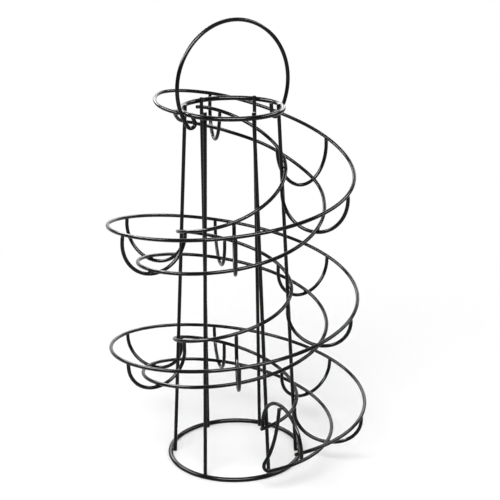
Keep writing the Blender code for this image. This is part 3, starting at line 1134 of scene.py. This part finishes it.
@dataclass(frozen=True)
class Brackets(SubAssembly):
    """The U-shaped brackets down the channel, legs under the outer and inner rails, bend round the lower."""

    rails: Rails
    wire: float = 0.0030
    leg: float = 0.0010
    tilt: float = 2.5
    tilt_share: float = 0.5
    azimuths: tuple[float, ...] = (
        104, 30, -26, -89, -147, -208, -261, -323, -384, -448, -505, -566, -620, -682, -739,
    )
    slimmer: float = 0.99
    leg_bead: Bead = (0.00134, 0.0002)
    seat_bead: Bead = (0.00112, 0.0005)
    bead_sink: float = 0.0004
    steps: int = 48
    trials: int = 40
    seed: float = 21.0

    def leg_end(self, rail: RailLine, azimuth: float) -> float:
        """How far under a rail's centreline a leg ends, clear of the rail on its slope."""
        slope = self.rails.fall(rail, azimuth)
        return self.rails.wire / 2 * math.hypot(1, slope) + self.wire / 2 * slope + self.rails.core.weld_gap

    def path(self, azimuth: float) -> Floats:
        """A bracket's centreline in its own upright plane, as (distance out, height).

        Its bend is half an oval whose depth is halved in on until its least distance from the lower
        rail is the seat of two wires, times the length of the lower rail's slope.

        Args:
            azimuth: where the bracket is.

        Returns:
            The places from the outer leg's end to the inner leg's end.
        """
        outer, inner, lower = self.rails.section(azimuth)
        chord = math.atan2(outer[1] - inner[1], outer[0] - inner[0])
        tilt = math.radians(self.tilt) + chord * self.tilt_share
        out = np.array((math.cos(tilt), math.sin(tilt)))
        down = np.array((math.sin(tilt), -math.cos(tilt)))
        middle = (outer + inner) / 2
        half_width = float((outer - inner) @ out) / 2
        outer_end = outer + down * self.leg_end(self.rails.outer, azimuth)
        inner_end = inner + down * self.leg_end(self.rails.inner, azimuth)
        leg = max((outer_end - middle) @ down, (inner_end - middle) @ down) + self.leg
        shallow = float((lower - middle) @ down) - leg
        deep = shallow + half_width
        slope = self.rails.fall(self.rails.lower, azimuth)
        seat = self.rails.core.seat(self.rails.wire, self.wire) * math.hypot(1, slope)
        for _ in range(self.trials):
            depth = (shallow + deep) / 2
            bend = half_oval(middle + down * leg, out, down, half_width, depth, self.steps)
            if distance_to_path(bend, lower)[0] < seat:
                shallow = depth
            else:
                deep = depth
        return np.concatenate((outer_end[None], bend, inner_end[None]))

    def build(self) -> None:
        """Makes every bracket."""
        radius = self.wire / 2 * self.slimmer
        for i, azimuth in enumerate(self.azimuths):
            path = lift(self.path(azimuth), azimuth)
            wire = sweep_wire(path, radius, plane_side(azimuth), WireForm.CUT, self.seed + i)
            self.shop.piece(f"bracket_wire_{i + 1:02d}", wire, BRACKET_COAT, f"bracket_{i + 1:02d}")

    def weld(self) -> None:
        """Makes the beads at both legs' ends and at the bend, for every bracket."""
        spots = np.array([self.weld_spots(azimuth) for azimuth in self.azimuths])
        legs = weld_beads(spots[:, 0:2].reshape(-1, 3), spots[:, 2:4].reshape(-1, 3), *self.leg_bead)
        seats = weld_beads(spots[:, 4], spots[:, 5], *self.seat_bead)
        self.shop.piece("bracket_leg_welds", legs, BRACKET_BEAD_COAT)
        self.shop.piece("bracket_seat_welds", seats, BRACKET_BEAD_COAT)

    def weld_spots(self, azimuth: float) -> Floats:
        """The places between which a bracket is welded.

        Args:
            azimuth: where the bracket is.

        Returns:
            Both legs' ends, the two rails over them, the bend's place nearest to the lower rail, and the
            lower rail's.
        """
        outer, inner, lower = self.rails.section(azimuth)
        path = self.path(azimuth)
        first = path[0] + unit(path[1] - path[0]) * self.bead_sink
        last = path[-1] + unit(path[-2] - path[-1]) * self.bead_sink
        nearest = distance_to_path(path, lower)[1]
        return lift(np.array((first, last, outer, inner, nearest, lower)), azimuth)


@dataclass(frozen=True)
class EndStop(SubAssembly):
    """The arch over the channel's foot, and the upturned end of the lower rail that is welded to it."""

    rails: Rails
    wire: float = 0.0030
    azimuth: float = -783.0
    height: float = 0.0295
    leg_drop: float = 0.0030
    bend_radius: float = 0.0050
    bow: float = 0.0080
    knee_share: float = 0.42
    slimmer: float = 0.985
    fingered_heights: Span = (0.045, 0.075)
    fingered: float = 0.5
    crown_weld_drop: float = 0.001
    bead: Bead = (0.00118, 0.0005)
    heading_steps: int = 4
    bend_room: float = 1.2
    steps: int = 56
    bend_steps: int = 14
    post_steps: int = 28
    seed: float = 41.0

    def seat(self) -> float:
        """The distance between the arch's centreline and the wires beside it."""
        return self.rails.core.seat(self.rails.wire, self.wire)

    def chord(self) -> tuple[Floats, Floats, float]:
        """The line across the arch's foot, in its upright plane.

        Returns:
            Its middle, its direction outwards, and half of its length.
        """
        outer, inner, _ = self.rails.section(self.azimuth)
        half_width = float(np.linalg.norm(outer - inner)) / 2 + self.seat()
        return (outer + inner) / 2, unit(outer - inner), half_width

    def path(self) -> Floats:
        """The arch's centreline: a half oval with two straight legs.

        Returns:
            Places as (distance out, height), from the outer leg's end to the inner leg's end.
        """
        centre, out, half_width = self.chord()
        up = np.array((-out[1], out[0]))
        arch = half_oval(centre, out, up, half_width, self.height, self.steps)
        drop = up * self.leg_drop
        return np.concatenate(((arch[0] - drop)[None], arch, (arch[-1] - drop)[None]))

    def crown(self) -> Floats:
        """Where the upturned end of the lower rail stops, beside the arch.

        Returns:
            The place over the lower rail at height * sqrt(1 - (across / half_width)^2) over the foot.
        """
        lower = self.rails.section(self.azimuth)[2]
        centre, out, half_width = self.chord()
        across = float((lower - centre) @ out)
        rise = self.height * math.sqrt(1 - (across / half_width) ** 2)
        side = math.degrees(self.seat() / lower[0])
        return polar(lower[0], self.azimuth - side, centre[1] + rise)

    def upturned(self, run: Floats) -> Floats:
        """Carries the lower rail round its bend and up in a bow to the crown.

        The knee stands over the corner, knee_share of the way to the crown and bow behind it. The bend is an
        arc, start + radius * (heading * sin(angle) + inward * (1 - cos(angle))), from the rail to the line
        from the corner to the knee, and cuts off radius * tan(turn / 2) of each. The post is
        end * (1 - t)^2 + knee * 2t(1 - t) + crown * t^2, where the end is the arc's.

        Args:
            run: the rail's centreline, ending at the corner that the bend cuts.

        Returns:
            The centreline with the bend and the upright end in place of the corner.
        """
        target = self.crown()
        corner, radius = run[-1], self.bend_radius
        heading = unit(corner - run[-1 - self.heading_steps])
        knee = corner + (target - corner) * self.knee_share - heading * self.bow
        rising = unit(knee - corner)
        turn = math.acos(float(heading @ rising))
        cut = radius * math.tan(turn / 2)
        kept = run[np.linalg.norm(run - corner, axis=1) > cut * self.bend_room]
        start = corner - heading * cut
        inward = unit(rising - heading * float(heading @ rising))
        angle = np.linspace(0.0, turn, self.bend_steps + 1)[:, None]
        arc = start + heading * radius * np.sin(angle) + inward * radius * (1 - np.cos(angle))
        t = np.linspace(0.0, 1.0, self.post_steps + 1)[1:, None]
        post = arc[-1] * (1 - t) ** 2 + knee * (2 * t * (1 - t)) + target * t * t
        return np.concatenate((kept, arc, post))

    def build(self) -> None:
        """Makes the arch."""
        path = lift(self.path(), self.azimuth)
        radius = self.wire / 2 * self.slimmer
        wire = sweep_wire(path, radius, plane_side(self.azimuth), WireForm.CUT, self.seed)
        fingered = smoothstep(*self.fingered_heights, wire.points[:, 2]) * self.fingered
        self.shop.piece("egg_stop_wire", wire, BRACKET_COAT, "egg_stop_arch", fingered)

    def weld(self) -> None:
        """Makes the beads of the arch on the outer rail, the inner rail and the upturned end."""
        outer, inner, _ = self.rails.section(self.azimuth)
        path = self.path()
        on_crown = self.crown() - UP * self.crown_weld_drop
        beside = distance_to_path(lift(path, self.azimuth), on_crown)[1]
        on_arch = np.concatenate((lift(path[[1, -2]], self.azimuth), beside[None]))
        on_rail = np.concatenate((lift(np.array((outer, inner)), self.azimuth), on_crown[None]))
        beads = weld_beads(on_arch, on_rail, *self.bead)
        self.shop.piece("egg_stop_welds", beads, BRACKET_BEAD_COAT)


# Bail


@dataclass(frozen=True)
class Bail(SubAssembly):
    """The carrying bail: a wide arc with a J-hook at each end, hooked under the top ring."""

    core: Core
    wire: float = 0.0032
    radius: float = 0.0503
    rise: float = 0.0182
    offset: float = 0.0021
    azimuth: float = 31.0
    hook_radius: float = 0.0036
    hook_drop: float = 0.0100
    hook_gap: float = 0.0003
    slimmer: float = 0.985
    grip_share: float = 0.72
    gripped: float = 0.6
    hook_facing: Span = (0.3, 0.95)
    hook_heights: Span = (0.001, -0.006)
    hook_steps: int = 24
    arc_steps: int = 84
    tip_steps: int = 4
    seed: float = 51.0

    def half(self, arc_middle: float) -> Floats:
        """Half of the bail in its own plane, from its hook's tip to its crown.

        The tip goes straight down to the hook, the hook is part of a circle that touches the arc from
        inside at the arc's foot, and the arc is part of a circle over the hinge line.

        Args:
            arc_middle: how far the arc's centre is to this side of the core's axis.

        Returns:
            Places as (distance to this side, height over the hinge line).
        """
        foot = math.asin((self.rise + self.hook_drop) / self.radius)
        arc_centre = np.array((arc_middle, self.rise))
        towards_foot = np.array((math.cos(foot), -math.sin(foot)))
        hook_centre = arc_centre + towards_foot * (self.radius - self.hook_radius)
        inside = (self.core.ring_wire + self.wire) / 2 + self.hook_gap
        tip = np.array((self.core.top_radius - inside, 0.0))
        bend = np.linspace(-math.pi, -foot, self.hook_steps + 1)
        hook = hook_centre + np.stack((np.cos(bend), np.sin(bend)), axis=-1) * self.hook_radius
        down = np.linspace(0.0, 1.0, self.tip_steps + 1)[:-1, None]
        shank = tip + (hook[0] - tip) * down
        sweep = np.linspace(-foot, math.pi / 2, self.arc_steps + 1)[1:]
        arc = arc_centre + np.stack((np.cos(sweep), np.sin(sweep)), axis=-1) * self.radius
        return np.concatenate((shank, hook, arc))

    def path(self) -> Floats:
        """The bail's centreline.

        Returns:
            Places in the frame, from hook tip to hook tip.
        """
        near = self.half(self.offset)
        far = self.half(-self.offset) * np.array((-1.0, 1.0))
        flat = np.concatenate((near, far[-2::-1]))
        sideways = outward(self.azimuth)
        place = polar(0.0, 0.0, self.core.top_height)
        return place + flat[:, :1] * sideways + flat[:, 1:] * UP

    def build(self) -> None:
        """Makes the bail, polished at its crown by the hand and inside its hooks by the ring."""
        radius = self.wire / 2 * self.slimmer
        wire = sweep_wire(self.path(), radius, plane_side(self.azimuth), WireForm.CUT, self.seed)
        height = wire.points[:, 2] - self.core.top_height
        grip = smoothstep(self.rise + self.radius * self.grip_share, self.rise + self.radius, height)
        inside = smoothstep(*self.hook_facing, wire.normals[:, 2]) * smoothstep(*self.hook_heights, height)
        rub = np.maximum(grip * self.gripped, inside)
        self.shop.piece("bail_wire", wire, BAIL_COAT, "carry_handle", rub, Rides.HANDLE)


# Studio


# The middle of the rack, which the lamps face
RACK_MIDDLE = (0.0, 0.0, 0.18)


def flat_panel(name: str, edge: Floats, cloth: bpy.types.Material) -> bpy.types.Object:
    """A flat four-sided piece of the stage, which is no part of the rack.

    Args:
        name: the piece's name.
        edge: its four corners, counter-clockwise from its front.
        cloth: what it is made of.

    Returns:
        The piece, in the scene.
    """
    mesh = bpy.data.meshes.new(name)
    mesh.from_pydata(edge.tolist(), [], [(0, 1, 2, 3)])
    mesh.materials.append(cloth)
    made = placed(name, mesh)
    return made


@dataclass(frozen=True)
class Softbox:
    """A square or strip lamp behind white cloth, pointed at the rack, which the camera never sees.

    Attributes:
        name: the lamp's name.
        place: where its middle is.
        width: its size across.
        height: its size up.
        power: its power in watts.
        use: whether it lights the studio or only gleams along the wires.
    """

    name: str
    place: Place
    width: float
    height: float
    power: float
    use: LampFor = LampFor.LIGHT

    def light(self) -> None:
        """Sets the lamp up in the scene, turned to the rack."""
        lamp = bpy.data.lights.new(self.name, "AREA")
        lamp.shape = "RECTANGLE"
        lamp.size, lamp.size_y = self.width, self.height
        lamp.energy = self.power
        made = placed(self.name, lamp)
        made.location = self.place
        towards = Vector(RACK_MIDDLE) - Vector(self.place)
        made.rotation_euler = towards.to_track_quat("-Z", "Y").to_euler()
        made.visible_camera = False
        made.visible_diffuse = self.use is LampFor.LIGHT


@dataclass(frozen=True)
class BlackCard:
    """A black card on a stand. Only the wires' shine sees it, so it darkens that and shades nothing.

    Attributes:
        name: the card's name.
        foot: the middle of its lower edge.
        width: its size across.
        height: its size up.
        facing: the azimuth that it faces.
        weave: the pattern of its threads.
        dark: the cloth's colour between its threads.
        pale: its colour on them.
    """

    name: str
    foot: Place
    width: float
    height: float
    facing: float
    weave: Pattern = (900.0, 1.0)
    dark: Colour = (0.008, 0.008, 0.008)
    pale: Colour = (0.013, 0.013, 0.013)

    def material(self) -> bpy.types.Material:
        """Weaves the card's black cloth, which has no shine.

        Returns:
            The material.
        """
        made = bpy.data.materials.new(f"{self.name}_cloth")
        made.use_nodes = True
        bench = Bench(made.node_tree)
        threads = bench.noise(bench.here(), self.weave)
        tone = bench.mixed(threads, (*self.dark, 1.0), (*self.pale, 1.0))
        cloth = {"Base Color": tone, "Roughness": 1.0, "Specular IOR Level": 0.0}
        bench.fill(made.node_tree.nodes["Principled BSDF"], cloth)
        return made

    def stand(self) -> None:
        """Stands the card in the studio, facing the rack."""
        side = -plane_side(self.facing) * self.width / 2
        foot, rise = np.array(self.foot), UP * self.height
        edge = np.stack((foot - side, foot + side, foot + side + rise, foot - side + rise))
        made = flat_panel(self.name, edge, self.material())
        made.visible_camera = False
        made.visible_diffuse = False
        made.visible_shadow = False


@dataclass(frozen=True)
class PaperSheet:
    """The plain pale floor. Away from the rack's shadow the camera sees it as white paper.

    Attributes:
        half_size: half of the sheet's width.
        colour: the paper's own colour.
        fibres: the pattern of its fibres.
        fibre_shade: a fibre's colour as a share of the paper's.
        paper_glow: white added for the camera where the rack's shadow falls.
        shadow_reach: how far from the rack the plain white starts, and where it is full.
    """

    half_size: float = 7.0
    colour: Colour = (0.86, 0.86, 0.86)
    fibres: Pattern = (350.0, 3.0)
    fibre_shade: float = 0.985
    paper_glow: float = 0.17
    shadow_reach: Span = (0.22, 0.62)

    def material(self) -> bpy.types.Material:
        """Makes matt paper that the lamps light near the rack and that shows as plain white further off.

        Returns:
            The material.
        """
        made = bpy.data.materials.new("white_paper")
        made.use_nodes = True
        made.node_tree.nodes.clear()
        bench = Bench(made.node_tree)
        spots = bench.here()
        low = tuple(c * self.fibre_shade for c in self.colour)
        tone = bench.mixed(bench.noise(spots, self.fibres), (*low, 1.0), (*self.colour, 1.0))
        matt = bench.node("ShaderNodeBsdfDiffuse", {"Color": tone}).outputs[0]
        rays = bench.node("ShaderNodeLightPath", {}).outputs
        glow = bench.white_glow(bench.reckon("MULTIPLY", rays["Is Camera Ray"], self.paper_glow))
        lit = bench.node("ShaderNodeAddShader", {0: matt, 1: glow}).outputs[0]
        reach = bench.node("ShaderNodeVectorMath", {0: spots}, operation="LENGTH").outputs["Value"]
        seen = bench.reckon("MAXIMUM", rays["Is Camera Ray"], rays["Is Glossy Ray"])
        share = bench.reckon("MULTIPLY", bench.spread(reach, self.shadow_reach), seen)
        shown = bench.node("ShaderNodeMixShader", {0: share, 1: lit, 2: bench.white_glow(1.0)}).outputs[0]
        bench.node("ShaderNodeOutputMaterial", {"Surface": shown})
        return made

    def lay(self) -> None:
        """Lays the sheet under the rack."""
        edge = np.array(((-1, -1, 0), (1, -1, 0), (1, 1, 0), (-1, 1, 0)), float) * self.half_size
        flat_panel("paper_sheet", edge, self.material())


@dataclass(frozen=True)
class Viewpoint:
    """The camera, where the photograph was taken from.

    Attributes:
        distance: how far in front of the core's axis it stands.
        height: how high it stands.
        yaw: degrees that it is turned to the right of straight ahead.
        pitch: degrees that it looks down.
        roll: degrees that it is rolled about its own line of sight.
        lens: the lens, in millimetres.
        sensor: the frame's width, in millimetres.
        clip: the nearest and the furthest that it sees.
    """

    distance: float = 0.9818
    height: float = 0.503555
    yaw: float = 0.79
    pitch: float = 18.24
    roll: float = -0.35
    lens: float = 91.97
    sensor: float = 36.0
    clip: Span = (0.05, 40.0)

    def set_up(self) -> None:
        """Makes the camera and gives it to the scene.

        It looks along (sin(yaw) cos(pitch), cos(yaw) cos(pitch), -sin(pitch)) and is rolled about that.
        """
        yaw, pitch, roll = (math.radians(v) for v in (self.yaw, self.pitch, self.roll))
        ahead = Vector((math.sin(yaw) * math.cos(pitch), math.cos(yaw) * math.cos(pitch), -math.sin(pitch)))
        right = Vector((math.cos(yaw), -math.sin(yaw), 0.0))
        up = right.cross(ahead)
        across = right * math.cos(roll) + up * math.sin(roll)
        over = up * math.cos(roll) - right * math.sin(roll)
        turned = Matrix((across, over, -ahead)).transposed().to_4x4()
        place = Vector((0.0, -self.distance, self.height)) + Vector(CORE_AXIS)
        lens = bpy.data.cameras.new("viewpoint")
        lens.lens, lens.sensor_width = self.lens, self.sensor
        lens.clip_start, lens.clip_end = self.clip
        made = placed("viewpoint", lens)
        made.matrix_world = Matrix.Translation(place) @ turned
        bpy.context.scene.camera = made


@dataclass(frozen=True)
class Studio:
    """A white sheet and white surroundings, with two soft lamps that light the rack.

    An arch of lamps from the front over both sides to the back gleams along the wires, as a big white tent
    does, and black cards in front and at both sides keep the rest of each wire dark.

    Attributes:
        surround: the strength of the world's even light, where 1 is white.
        sheet: the floor.
        viewpoint: the camera.
        lamps: the lamps that light the rack and those that only gleam.
        cards: the black cards.
    """

    surround: float = 0.46
    sheet: PaperSheet = PaperSheet()
    viewpoint: Viewpoint = Viewpoint()
    lamps: tuple[Softbox, ...] = (
        Softbox("front_top_box", (-0.25, -0.95, 1.30), 1.10, 0.50, 21.0),
        Softbox("back_box", (0.10, 1.50, 0.60), 1.10, 0.60, 6.0),
        Softbox("front_gleam", (0.00, -1.06, 1.12), 1.30, 0.30, 72.0, LampFor.GLEAM),
        Softbox("left_gleam", (-1.16, 0.17, 0.97), 1.10, 0.26, 44.0, LampFor.GLEAM),
        Softbox("right_gleam", (1.16, 0.17, 0.97), 1.10, 0.26, 24.0, LampFor.GLEAM),
        Softbox("back_left_gleam", (-0.66, 1.09, 0.76), 0.70, 0.26, 9.0, LampFor.GLEAM),
        Softbox("back_right_gleam", (0.66, 1.09, 0.76), 0.70, 0.26, 4.0, LampFor.GLEAM),
    )
    cards: tuple[BlackCard, ...] = (
        BlackCard("front_card", (0.0, -2.0, 0.0), 5.0, 3.0, 90.0),
        BlackCard("left_card", (-1.5, 0.1, 0.0), 4.2, 3.0, 0.0),
        BlackCard("right_card", (1.5, 0.1, 0.0), 4.2, 3.0, 180.0),
    )

    def surroundings(self) -> None:
        """Makes the world white for the camera and for shine, and a soft even light for the rest."""
        world = bpy.data.worlds.new("white_room")
        world.use_nodes = True
        bpy.context.scene.world = world
        bench = Bench(world.node_tree)
        rays = bench.node("ShaderNodeLightPath", {}).outputs
        seen = bench.reckon("MAXIMUM", rays["Is Camera Ray"], rays["Is Glossy Ray"])
        seen = bench.reckon("MAXIMUM", seen, rays["Is Transmission Ray"])
        strength = bench.reckon("MULTIPLY_ADD", seen, 1.0 - self.surround, self.surround)
        bench.fill(world.node_tree.nodes["Background"], {"Color": WHITE, "Strength": strength})

    def set_up(self) -> None:
        """Lays the sheet, stands the cards, lights the lamps and sets the camera."""
        self.sheet.lay()
        self.surroundings()
        for lamp in self.lamps:
            lamp.light()
        for card in self.cards:
            card.stand()
        self.viewpoint.set_up()
        bpy.context.scene.view_settings.view_transform = "Standard"


def main() -> None:
    """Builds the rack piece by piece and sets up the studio."""
    logging.basicConfig(level=logging.INFO, format="%(message)s")
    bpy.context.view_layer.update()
    shop = Shop()
    core = Core(shop)
    rails = Rails(shop, core)
    stop = EndStop(shop, rails)
    brackets = Brackets(shop, rails)
    core.build()
    rails.build(stop)
    brackets.build()
    stop.build()
    for welded in (core, rails, brackets, stop):
        welded.weld()
    Bail(shop, core).build()
    LOG.info("%d pieces, %d triangles", shop.made, shop.triangles)
    Studio().set_up()


if __name__ == "__main__":
    main()
